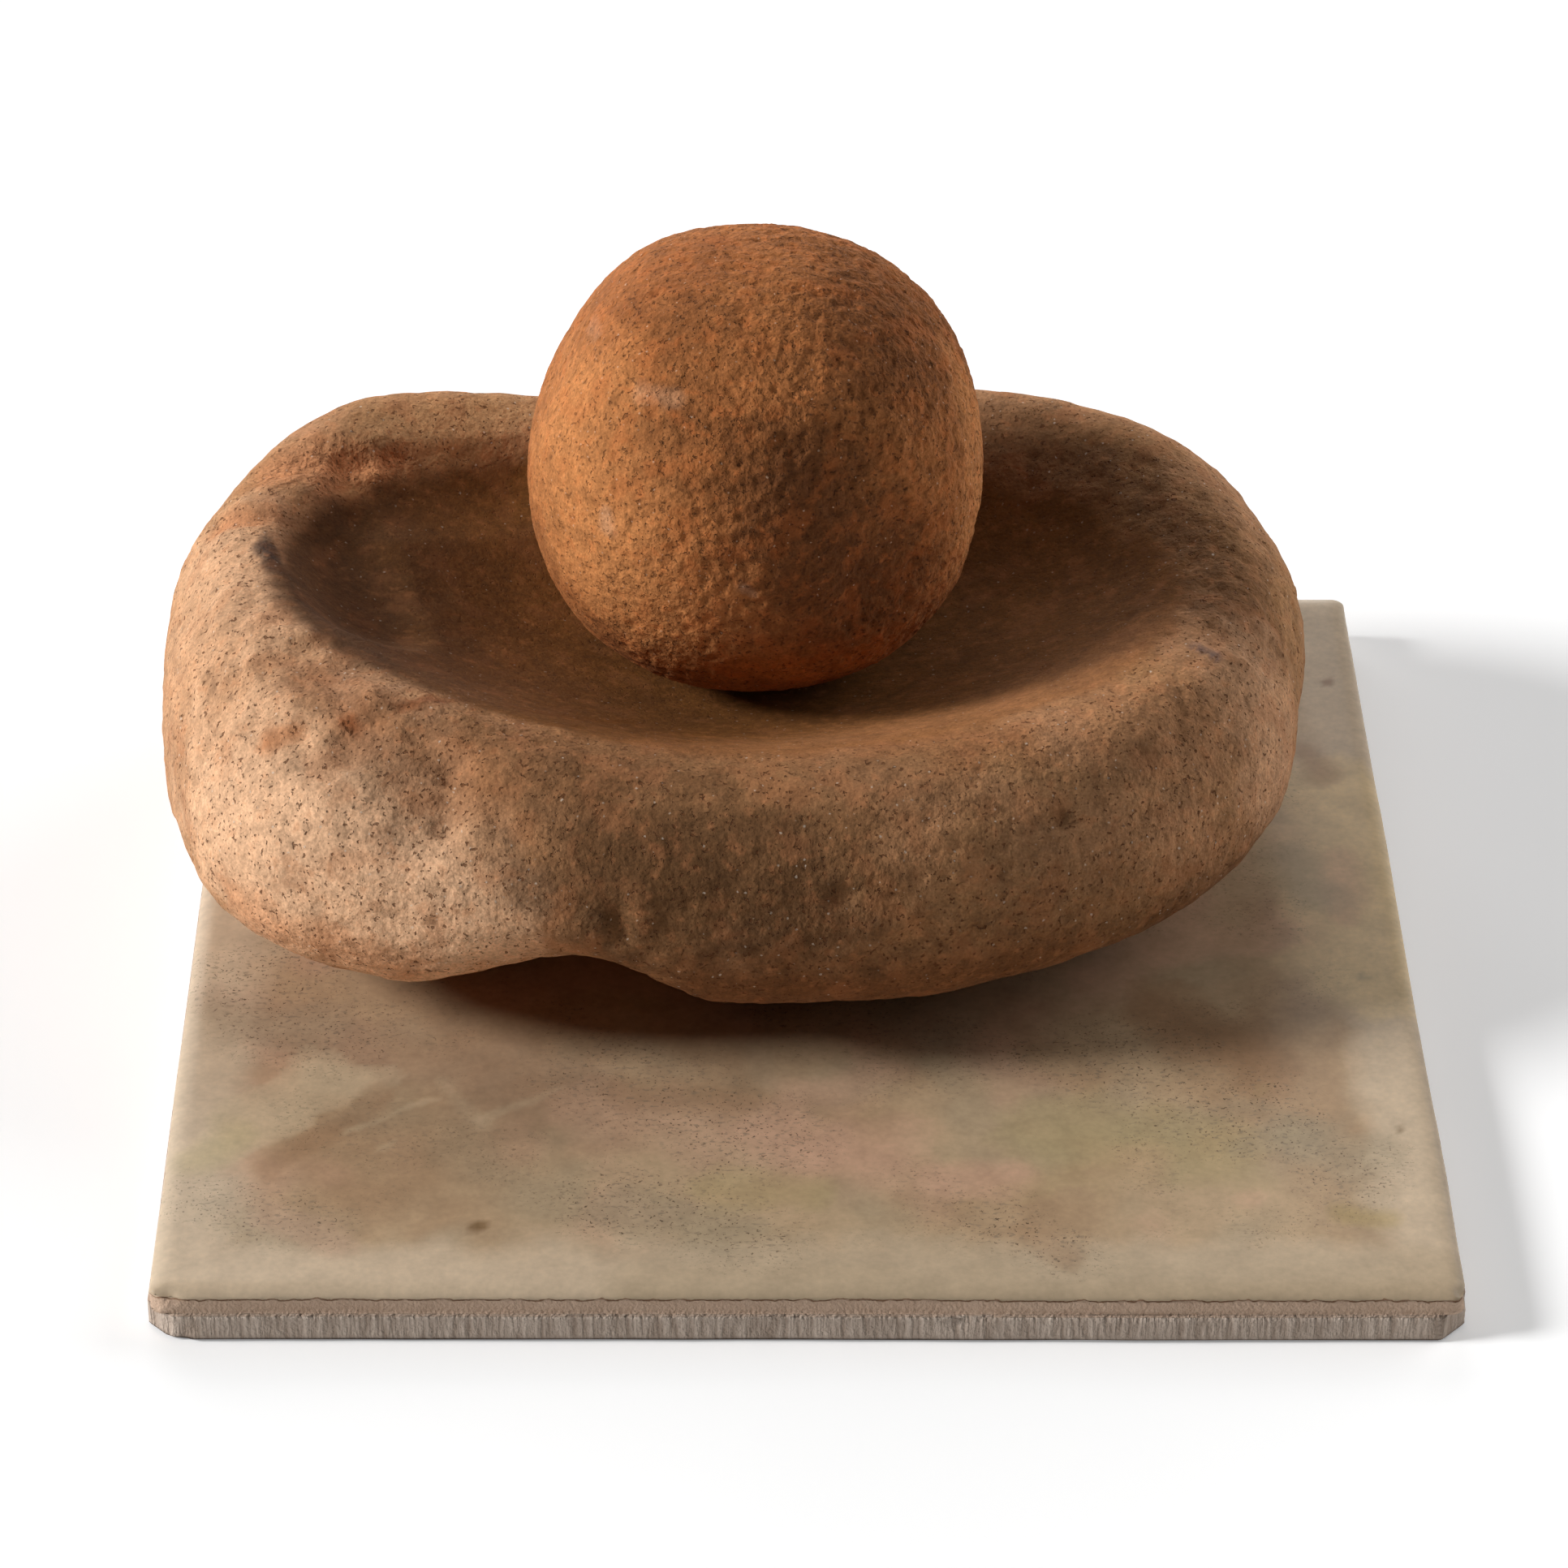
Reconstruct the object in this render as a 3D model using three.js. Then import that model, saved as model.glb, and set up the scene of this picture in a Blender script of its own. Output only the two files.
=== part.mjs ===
// Stone grinding bowl with its hand stone, standing on a glazed tile.
// Millimetres, +Z up, the bowl's long way along X and its front towards -Y.
// The origin is the middle of the tile's underside.
import * as THREE from 'three';
import { mergeVertices } from 'three/addons/utils/BufferGeometryUtils.js';

// Tile
const tile_side = 203.2;
const tile_thickness = 9.2;
const tile_body_height = 5;
const tile_body_chamfer = 4;
const tile_corner_radius = 2.2;
const tile_glaze_inset = 0.5;
const tile_edge_round = 2.4;
const tile_corner_steps = 4;
const tile_edge_steps = 5;

// Bowl, measured from its seat on the tile: an ellipse in plan, drawn out at its corners
const bowl_length = 192;
const bowl_width = 146;
const bowl_belly_height = 24;
const bowl_crown_height = 44;
const bowl_seat_cut = 3;
const bowl_from_tile_middle = -11;
const bowl_behind_tile_middle = 25;
const bowl_seat_gap = 0.3;
const bowl_detail = 15;

// Exponents of the rounded profile: 2 is an ellipse, and more is squarer
const crown_squareness = 2.4;
const keel_squareness = 2.3;
const pestle_squareness = 2.22;

// Dish, an arc along the bowl that also rises across it, more steeply at the back
const dish_length = 157;
const dish_front_half_width = 59;
const dish_back_half_width = 45;
const dish_depth = 24;
const dish_side_rise = 20.5;
const dish_floor_thickness = 30;
const dish_lip_round = 16;
const dish_from_bowl_middle = 3;
const dish_behind_bowl_middle = 8;

// Hand stone, which lies in the middle of the dish
const pestle_length = 76;
const pestle_width = 74;
const pestle_height = 76.5;
const pestle_gap = 0.3;
const pestle_detail = 9;

// Plan of the bowl, as shares of its ellipse at even turns from +X round by +Y
const bowl_outline_shares = [
  1, 1.09, 1.19, 1.09, 0.98, 1, 1.14, 1.07,
  1.01, 1.05, 1.14, 1.06, 1.01, 1.03, 1.03, 1.01,
];

// Height of the bowl's crown, as shares at even turns from +X round by +Y
const bowl_crown_shares = [0.99, 1, 1.02, 1.15, 1.1, 0.97, 0.84, 0.9];

// Hollows: place and half-size as shares of the stone's own half-sizes, depth as a share of its height
const bowl_hollow_shares = [
  [-0.29, -0.82, -0.4, 0.27, 0.55, 0.58, 0.4],
  [-0.52, -0.76, 0.6, 0.16, 0.34, 0.36, 0.07],
  [-0.74, 0.42, 0.8, 0.16, 0.14, 0.3, 0.06],
];
const pestle_hollow_shares = [
  [-0.9, 0, 0.6, 0.55, 0.9, 0.7, 0.06],
  [0.6, -0.75, -0.1, 0.5, 0.5, 0.7, 0.035],
];

// Finishes
const glaze_finish = { color: 0xcdbfa6, roughness: 0.2 };
const bowl_finish = { color: 0xa37c5c, roughness: 0.9 };
const pestle_finish = { color: 0xa8693a, roughness: 0.9 };

const full_turn = 2 * Math.PI;
const corner_count = 4;
const corner_turn = full_turn / corner_count;

// One share at a turn from 0 to 1, on a smooth closed curve through the row of shares
function shareAround(shares, turn) {
  const place = turn * shares.length;
  const before = Math.floor(place);
  const part = place - before;
  const [a, b, c, d] = [-1, 0, 1, 2].map((step) => shares[(before + step + shares.length) % shares.length]);
  return b + part * (c - a + part * (2 * a - 5 * b + 4 * c - d + part * (3 * (b - c) + d - a))) / 2;
}

// The lower of two heights, with their crossing rounded off
function roundedLower(one, other, round) {
  const near = Math.max(round - Math.abs(one - other), 0) / round;
  return Math.min(one, other) - near * near * round / 4;
}

// A closed stone: every point of a unit ball is moved to where place puts it
function stoneGeometry(detail, place) {
  const ball = new THREE.IcosahedronGeometry(1, detail);
  ball.deleteAttribute('normal');
  ball.deleteAttribute('uv');
  const stone = mergeVertices(ball);
  const points = stone.getAttribute('position');
  const direction = new THREE.Vector3();
  for (let index = 0; index < points.count; index += 1) {
    direction.fromBufferAttribute(points, index).normalize();
    const spot = place(direction);
    points.setXYZ(index, spot.x, spot.y, spot.z);
  }
  stone.computeVertexNormals();
  return stone;
}

// Sinks a point towards the stone's middle by each hollow that reaches it
function sinkIntoHollows(spot, hollows, half_size, middle) {
  const inward = middle.clone().sub(spot).normalize();
  for (const [along, across, up, half_along, half_across, half_up, depth] of hollows) {
    const away = new THREE.Vector3(
      ((spot.x - middle.x) / half_size.x - along) / half_along,
      ((spot.y - middle.y) / half_size.y - across) / half_across,
      ((spot.z - middle.z) / half_size.z - up) / half_up,
    );
    const near = Math.max(1 - away.lengthSq(), 0);
    spot.addScaledVector(inward, depth * half_size.z * near * near);
  }
  return spot;
}

// Radius of the arc that sinks by depth over a chord
function arcRadius(chord, depth) {
  return ((chord / 2) ** 2 + depth ** 2) / (2 * depth);
}

// Height of the dish above the seat: the arc along the bowl, turned about an axis over the dish's middle
const dish_arc_radius = arcRadius(dish_length, dish_depth);
function dishHeight(along, across) {
  const half_width = across < 0 ? dish_front_half_width : dish_back_half_width;
  const radius = dish_arc_radius - dish_side_rise * (across / half_width) ** 2;
  const square = radius ** 2 - along ** 2;
  return square > 0 ? dish_floor_thickness + dish_arc_radius - Math.sqrt(square) : Infinity;
}

function bowlPoint(direction) {
  const out = Math.hypot(direction.x, direction.y);
  const turn = (Math.atan2(direction.y, direction.x) / full_turn + 1) % 1;
  const outline = shareAround(bowl_outline_shares, turn);
  const upper = direction.z > 0;
  const power = 2 / (upper ? crown_squareness : keel_squareness);
  const spread = out > 0 ? outline * out ** power / out : 0;
  const crown = bowl_crown_height * shareAround(bowl_crown_shares, turn);
  const keel = bowl_belly_height + bowl_seat_cut;
  const rise = (upper ? crown : -keel) * Math.abs(direction.z) ** power;
  const half_size = new THREE.Vector3(bowl_length / 2, bowl_width / 2, bowl_crown_height);
  const middle = new THREE.Vector3(0, 0, bowl_belly_height);
  const spot = new THREE.Vector3(
    half_size.x * spread * direction.x,
    half_size.y * spread * direction.y,
    bowl_belly_height + rise,
  );
  sinkIntoHollows(spot, bowl_hollow_shares, half_size, middle);
  if (upper) {
    const dish = dishHeight(spot.x - dish_from_bowl_middle, spot.y - dish_behind_bowl_middle);
    spot.z = roundedLower(spot.z, dish, dish_lip_round);
  }
  spot.z = Math.max(spot.z, 0);
  return spot;
}

function pestlePoint(direction) {
  const half_size = new THREE.Vector3(pestle_length / 2, pestle_width / 2, pestle_height / 2);
  const sum = ['x', 'y', 'z'].reduce((total, axis) => total + Math.abs(direction[axis]) ** pestle_squareness, 0);
  const spot = direction.clone().multiply(half_size).divideScalar(sum ** (1 / pestle_squareness));
  return sinkIntoHollows(spot, pestle_hollow_shares, half_size, new THREE.Vector3());
}

// One corner of the tile's plan: an arc, or a straight chamfer with as many points
function cornerPoints(half_side, size, is_round) {
  const points = [];
  for (let step = 0; step <= tile_corner_steps; step += 1) {
    const part = step / tile_corner_steps;
    const angle = part * corner_turn;
    const x = is_round ? 1 - Math.cos(angle) : part;
    const y = is_round ? 1 - Math.sin(angle) : 1 - part;
    points.push(new THREE.Vector2(half_side - size * x, half_side - size * y));
  }
  return points;
}

// One closed ring of the tile at a height
function tileRing(height, half_side, corner_size, is_round) {
  const ring = [];
  const corner = cornerPoints(half_side, corner_size, is_round);
  for (let turns = 0; turns < corner_count; turns += 1) {
    for (const point of corner) {
      const turned = point.clone().rotateAround(new THREE.Vector2(), turns * corner_turn);
      ring.push(new THREE.Vector3(turned.x, turned.y, height));
    }
  }
  return ring;
}

// A closed solid through rings of equal count, with flat ends
function ringSolid(rings) {
  const count = rings[0].length;
  const points = rings.flat();
  const faces = [];
  for (let level = 1; level < rings.length; level += 1) {
    for (let step = 0; step < count; step += 1) {
      const low = (level - 1) * count + step;
      const low_next = (level - 1) * count + (step + 1) % count;
      faces.push(low, low_next, low_next + count, low, low_next + count, low + count);
    }
  }
  const last = (rings.length - 1) * count;
  for (let step = 1; step < count - 1; step += 1) {
    faces.push(0, step + 1, step);
    faces.push(last, last + step, last + step + 1);
  }
  const solid = new THREE.BufferGeometry().setFromPoints(points);
  solid.setIndex(faces);
  solid.computeVertexNormals();
  return solid;
}

function tileGeometry() {
  const half_side = tile_side / 2;
  const glaze_half = half_side - tile_glaze_inset;
  const rings = [
    tileRing(0, half_side, tile_body_chamfer, false),
    tileRing(tile_body_height, half_side, tile_body_chamfer, false),
    tileRing(tile_body_height, glaze_half, tile_corner_radius, true),
  ];
  for (let step = 0; step <= tile_edge_steps; step += 1) {
    const angle = step / tile_edge_steps * corner_turn;
    const inset = tile_edge_round * (1 - Math.cos(angle));
    const height = tile_thickness - tile_edge_round * (1 - Math.sin(angle));
    rings.push(tileRing(height, glaze_half - inset, tile_corner_radius, true));
  }
  return ringSolid(rings);
}

function namedMesh(name, geometry, finish) {
  const mesh = new THREE.Mesh(geometry, new THREE.MeshStandardMaterial({ ...finish, metalness: 0 }));
  mesh.name = name;
  return mesh;
}

function baseTile() {
  return namedMesh('base_tile', tileGeometry(), glaze_finish);
}

function grindingBowl() {
  return namedMesh('grinding_bowl', stoneGeometry(bowl_detail, bowlPoint), bowl_finish);
}

function pestle() {
  const stone = namedMesh('pestle', stoneGeometry(pestle_detail, pestlePoint), pestle_finish);
  const height = dish_floor_thickness + pestle_gap + pestle_height / 2;
  stone.position.set(dish_from_bowl_middle, dish_behind_bowl_middle, height);
  return stone;
}

const group = new THREE.Group();
const stones = new THREE.Group();
stones.position.set(bowl_from_tile_middle, bowl_behind_tile_middle, tile_thickness + bowl_seat_gap);
stones.add(grindingBowl(), pestle());
group.add(baseTile(), stones);

export default group;
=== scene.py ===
"""Looks of a stone grinding bowl, its hand stone and the glazed tile that they stand on."""

import math
from dataclasses import dataclass

import bmesh
import bpy
import numpy as np
from mathutils import Matrix, Vector, noise
from mathutils.bvhtree import BVHTree
from mathutils.kdtree import KDTree


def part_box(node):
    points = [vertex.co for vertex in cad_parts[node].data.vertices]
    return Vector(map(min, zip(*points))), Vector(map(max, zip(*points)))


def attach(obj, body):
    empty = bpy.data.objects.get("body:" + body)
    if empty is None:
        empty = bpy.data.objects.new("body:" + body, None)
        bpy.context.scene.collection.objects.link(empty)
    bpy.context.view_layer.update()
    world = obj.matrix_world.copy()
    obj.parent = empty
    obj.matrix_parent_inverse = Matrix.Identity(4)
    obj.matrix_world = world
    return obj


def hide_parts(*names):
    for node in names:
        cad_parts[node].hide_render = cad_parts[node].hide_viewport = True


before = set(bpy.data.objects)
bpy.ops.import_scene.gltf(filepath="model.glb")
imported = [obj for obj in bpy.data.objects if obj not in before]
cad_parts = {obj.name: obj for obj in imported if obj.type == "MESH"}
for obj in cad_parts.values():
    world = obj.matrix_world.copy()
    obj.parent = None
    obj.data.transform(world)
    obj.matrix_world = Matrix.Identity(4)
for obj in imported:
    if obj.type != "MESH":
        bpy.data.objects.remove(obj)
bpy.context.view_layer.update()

mm = 0.001


def tone(red, green, blue):
    """A colour written as on a screen, from 0 to 255, as Blender's linear colour."""
    shares = [part / 255 for part in (red, green, blue)]
    linear = [share / 12.92 if share < 0.04 else ((share + 0.055) / 1.055) ** 2.4 for share in shares]
    return (*linear, 1.0)


# Camera, found from the tile's corners in the photograph
photo_side = 1932
camera_place = Vector((-16.7, -760.5, 546.6)) * mm
camera_yaw = math.radians(-1.03)
camera_pitch = math.radians(33.92)
camera_roll = math.radians(0.72)
camera_lens = 127.2
camera_sensor = 36

# Finer meshes of the stones
weld_reach = 0.001 * mm
bowl_splits = 2
pestle_splits = 3

# Dish, as shares of the bowl's box
dish_middle_share = (0.493, 0.5)
dish_half_share = (0.393, 0.328)
dish_edge_blend = 0.08

# Tile
tile_body_height = 5 * mm
tile_glaze_height = 7.9 * mm
tile_ledge = 0.5 * mm
tile_foot_round = 0.5 * mm
tile_cushion = 3.4 * mm
tile_body_chamfer = 4 * mm
tile_corner_round = 2.2 * mm
tile_grid_step = 1.1 * mm
tile_edge_insets = (0, 0.12, 0.35, 0.7, 1.15, 1.7, 2.4, 3.2, 4.1)
tile_side_steps = 5
tile_bead = 0.16 * mm

# Tones of the bowl
bowl_tan = tone(178, 130, 87)
bowl_pink_tan = tone(188, 138, 98)
bowl_cream = tone(210, 161, 122)
bowl_grey = tone(142, 103, 67)
# Partly the darker worn dish, partly painted shade over the dish
bowl_dish_wear_and_painted_shade = tone(108, 65, 21)
# Painted shade at the dish's left end, where the left rim shades it
bowl_dish_end_painted_shade = tone(76, 45, 17)
# Painted light: a lighter copy of the dish tone for its lit front
bowl_dish_front_painted_light = tone(158, 106, 64)
bowl_pale = tone(238, 190, 150)
# Painted shade for the bowl's underside
bowl_underside_painted_shade = tone(112, 74, 44)
bowl_shade = tone(96, 65, 38)
bowl_orange = tone(196, 128, 82)
bowl_pink = tone(206, 139, 94)
bowl_soot = tone(52, 44, 42)

# Tones of the hand stone
pestle_rust = tone(176, 111, 63)
pestle_brown = tone(132, 80, 44)
pestle_pale = tone(210, 140, 84)
pestle_quartz = tone(226, 196, 168)

# Tones of the tile
glaze_beige = tone(198, 170, 136)
glaze_border = tone(212, 189, 160)
glaze_cream = tone(220, 198, 164)
glaze_brown = tone(166, 130, 98)
glaze_grey = tone(174, 156, 128)
glaze_olive = tone(178, 164, 112)
glaze_pink = tone(212, 170, 142)
glaze_spot = tone(112, 82, 46)


@dataclass
class Mark:
    """A hollow, or with a depth below 0 a rise, along a line between two points of the photograph.

    Reach and depth are in millimetres. A low softness gives it a steep edge, and a high one a soft dip.
    """

    start: tuple
    end: tuple
    reach: float
    depth: float
    softness: float = 1.5


@dataclass
class Stain:
    """A patch of another tone along a line between two points of the photograph, with its reach in millimetres.

    A low softness gives it a clear edge.
    """

    start: tuple
    end: tuple
    reach: float
    tone: tuple
    strength: float = 0.6
    softness: float = 0.9


bowl_marks = {
    "back rim chip": Mark((335, 578), (425, 566), 6, 1.0, 0.6),
    "back rim chip tail": Mark((425, 566), (490, 560), 3, 0.9, 0.8),
    "back rim ledge": Mark((325, 596), (470, 574), 2.6, -0.6),
    "left rim furrow": Mark((286, 615), (350, 602), 4, 0.4),
    "left rim chip": Mark((266, 646), (312, 634), 3.6, 1.1, 0.7),
    "left scoop": Mark((368, 805), (448, 880), 9, 1.6),
    "left small scoop": Mark((376, 905), (410, 935), 4.6, 1.3, 1.0),
    "left ridge": Mark((459, 845), (495, 915), 5, -0.9),
    "front scoop": Mark((484, 905), (528, 1000), 9, 1.3, 1.2),
    "front crease": Mark((550, 950), (541, 1025), 1.8, 1.1, 0.8),
    "front crease top": Mark((510, 905), (551, 940), 3, 0.6, 1.2),
    "front bump": Mark((785, 1110), (795, 1150), 3.5, -0.6),
    "front bump pit": Mark((762, 1125), (764, 1150), 2.2, 1.2, 0.9),
    "front ledge": Mark((1034, 1109), (1046, 1104), 2.2, 0.9, 0.8),
    "front scar": Mark((1078, 1188), (1140, 1150), 2.8, 0.9, 0.8),
    "deep pit": Mark((1295, 1015), (1307, 1012), 1.7, 0.9, 0.7),
    "right scoop": Mark((1472, 880), (1515, 940), 8, 0.6, 1.0),
    "right scoop edge": Mark((1459, 868), (1454, 906), 1.9, 0.6, 0.7),
    "right scar": Mark((1505, 786), (1572, 812), 5, 0.8, 0.6),
    "right ridge": Mark((1480, 792), (1542, 822), 2.4, -0.6),
}

bowl_dips = {
    "dish left end": Mark((412, 664), (448, 752), 13, 3.3, 1.2),
    "dish back left": Mark((460, 606), (620, 600), 10, 2.2, 1.2),
}

bowl_broken = {
    "left front": Mark((330, 780), (500, 980), 24, 1, 0.7),
}

bowl_pecked = {
    "back rim chip": Mark((335, 578), (480, 562), 6, 1, 0.6),
    "right front": Mark((1300, 1000), (1520, 1040), 30, 0.4, 0.6),
    "lower front": Mark((1000, 1120), (1250, 1120), 14, 0.35, 0.7),
    "left front": Mark((520, 900), (700, 1100), 16, 0.2, 0.7),
}

bowl_stains = {
    # The pale stains on the left are partly the stone's paler tone and partly painted light, on the side that faces
    # the lamp
    "left end": Stain((260, 750), (290, 960), 46, bowl_cream, 0.9),
    "left flank": Stain((300, 1020), (490, 1120), 27, bowl_pale, 0.95),
    "left foot": Stain((400, 1140), (560, 1170), 17, bowl_pale, 0.85),
    "left top": Stain((255, 690), (320, 740), 16, bowl_pale, 0.35),
    "front face": Stain((680, 1000), (1080, 985), 21, tone(150, 106, 70), 0.65),
    # Painted shade: darker low on the front, where it faces away from the lamps
    "front middle painted shade": Stain((760, 1090), (980, 1110), 18, bowl_shade, 0.85),
    "front right": Stain((1260, 1110), (1390, 1130), 13, bowl_grey, 0.6),
    "right lip": Stain((1320, 880), (1470, 900), 12, tone(174, 124, 86), 0.6),
    # Painted shade along the front foot, above the shadow under the bowl
    "front foot painted shade": Stain((860, 1215), (1300, 1170), 7, tone(128, 83, 50), 0.55),
    "front lip": Stain((820, 915), (1230, 905), 9, tone(156, 103, 64), 0.65),
    # Painted shade on the left lip, next to the shadow in the dish
    "left lip painted shade": Stain((600, 915), (760, 940), 13, tone(134, 92, 58), 0.65),
    # Painted shadow of the hand stone, on the back rim to its right
    "back rim right painted shadow": Stain((1215, 530), (1350, 570), 13, tone(110, 76, 49), 0.6),
    "back rim left": Stain((480, 538), (640, 522), 8, tone(206, 158, 112), 0.6),
    # Painted shade inside the dish's right end
    "right inside painted shade": Stain((1450, 670), (1540, 760), 13, tone(110, 72, 42), 0.75),
    "lip line": Stain((490, 862), (780, 890), 1.7, tone(124, 66, 32), 0.85, 0.5),
    "left underside": Stain((300, 1120), (500, 1195), 6, bowl_orange, 0.5),
    "left rust": Stain((450, 890), (580, 960), 9, tone(176, 120, 80), 0.5),
    # Partly paler stone, partly painted light on the left side
    "left light": Stain((270, 980), (350, 1030), 9, bowl_pale, 0.6),
    "right end": Stain((1560, 840), (1575, 940), 15, bowl_cream, 0.7),
    "back rim chip": Stain((335, 578), (425, 566), 7, bowl_pink, 0.75),
    "back rim chip tail": Stain((425, 566), (490, 560), 3.5, bowl_pink, 0.8),
    "left rim chip": Stain((266, 646), (312, 634), 4, bowl_pink, 0.8),
    "left scoop": Stain((385, 820), (440, 880), 8, tone(160, 108, 72), 0.6),
    "front scoop": Stain((500, 920), (520, 980), 8, tone(160, 118, 86), 0.5),
    "scoop freckle": Stain((424, 879), (430, 882), 1.8, tone(170, 96, 52), 0.8),
    "small scoop rim": Stain((330, 912), (356, 900), 2.5, bowl_orange, 0.7),
    "soot": Stain((328, 672), (335, 697), 2.3, bowl_soot, 1.0, 0.5),
    "soot top": Stain((325, 659), (330, 668), 1.5, bowl_soot, 0.7),
    "right blue fleck": Stain((1470, 792), (1480, 795), 1.4, tone(86, 80, 92), 0.6),
    "right blue speck": Stain((1496, 802), (1502, 806), 1.2, tone(96, 90, 100), 0.8),
}

pestle_marks = {
    "centre pits": Mark((1040, 520), (1070, 500), 5, 0.5, 1.0),
    "centre notch": Mark((955, 553), (985, 548), 2.0, 0.8, 1.0),
    "lower shade": Mark((1060, 600), (1080, 710), 13, 1.4),
    "front ridge": Mark((965, 570), (955, 700), 7, -0.4),
}

pestle_stains = {
    # Partly the paler, smoother worn side, partly painted light on the side that faces the lamp
    "left face": Stain((700, 520), (720, 640), 21, pestle_pale, 0.75),
    "lower left": Stain((740, 700), (800, 770), 13, pestle_pale, 0.7),
    # Painted light: a pale band down the right edge, as a rim light
    "right rim painted light": Stain((1195, 480), (1195, 660), 9, pestle_pale, 0.9),
    # Painted shade low in the middle
    "lower middle painted shade": Stain((990, 610), (1060, 735), 17, tone(104, 62, 33), 0.88),
    "upper right": Stain((1060, 350), (1120, 440), 12, pestle_brown, 0.6),
    "upper left": Stain((760, 380), (860, 320), 12, tone(166, 100, 56), 0.5),
    # Painted light: lighter low on the front, as light thrown up from the dish
    "lower front": Stain((860, 800), (1060, 815), 8, pestle_pale, 0.4),
    "upper quartz": Stain((795, 478), (830, 490), 2.0, pestle_quartz, 0.16),
    "left quartz": Stain((744, 632), (746, 652), 1.8, pestle_quartz, 0.2),
    "top quartz": Stain((728, 400), (736, 412), 1.8, pestle_quartz, 0.12),
    "low quartz": Stain((917, 728), (925, 735), 1.2, pestle_quartz, 0.2),
}

tile_marks = {
    "left front corner": Mark((190, 1604), (206, 1598), 1.6, 0.7, 0.8),
    "left front foot painted shade": Mark((216, 1640), (220, 1645), 2.2, 0.6, 1.0),
    "right front corner": Mark((1801, 1592), (1806, 1600), 1.2, 0.5, 1.0),
    "front split": Mark((1160, 1627), (1220, 1624), 0.6, 0.4, 1.0),
    "front nick": Mark((1176, 1634), (1182, 1626), 0.7, 0.5, 1.0),
}

tile_speckled = {
    "left": Mark((310, 1215), (400, 1270), 15, 1, 0.8),
    "left front": Mark((250, 1480), (400, 1505), 9, 0.8, 0.8),
    "middle": Mark((770, 1335), (940, 1400), 15, 1, 0.8),
    "middle front": Mark((770, 1475), (930, 1520), 11, 0.9, 0.8),
    "right": Mark((1350, 1310), (1540, 1370), 15, 1, 0.8),
    "right front": Mark((1560, 1390), (1680, 1440), 10, 0.8, 0.8),
    "front right": Mark((1230, 1500), (1310, 1545), 8, 0.8, 0.8),
}

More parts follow.
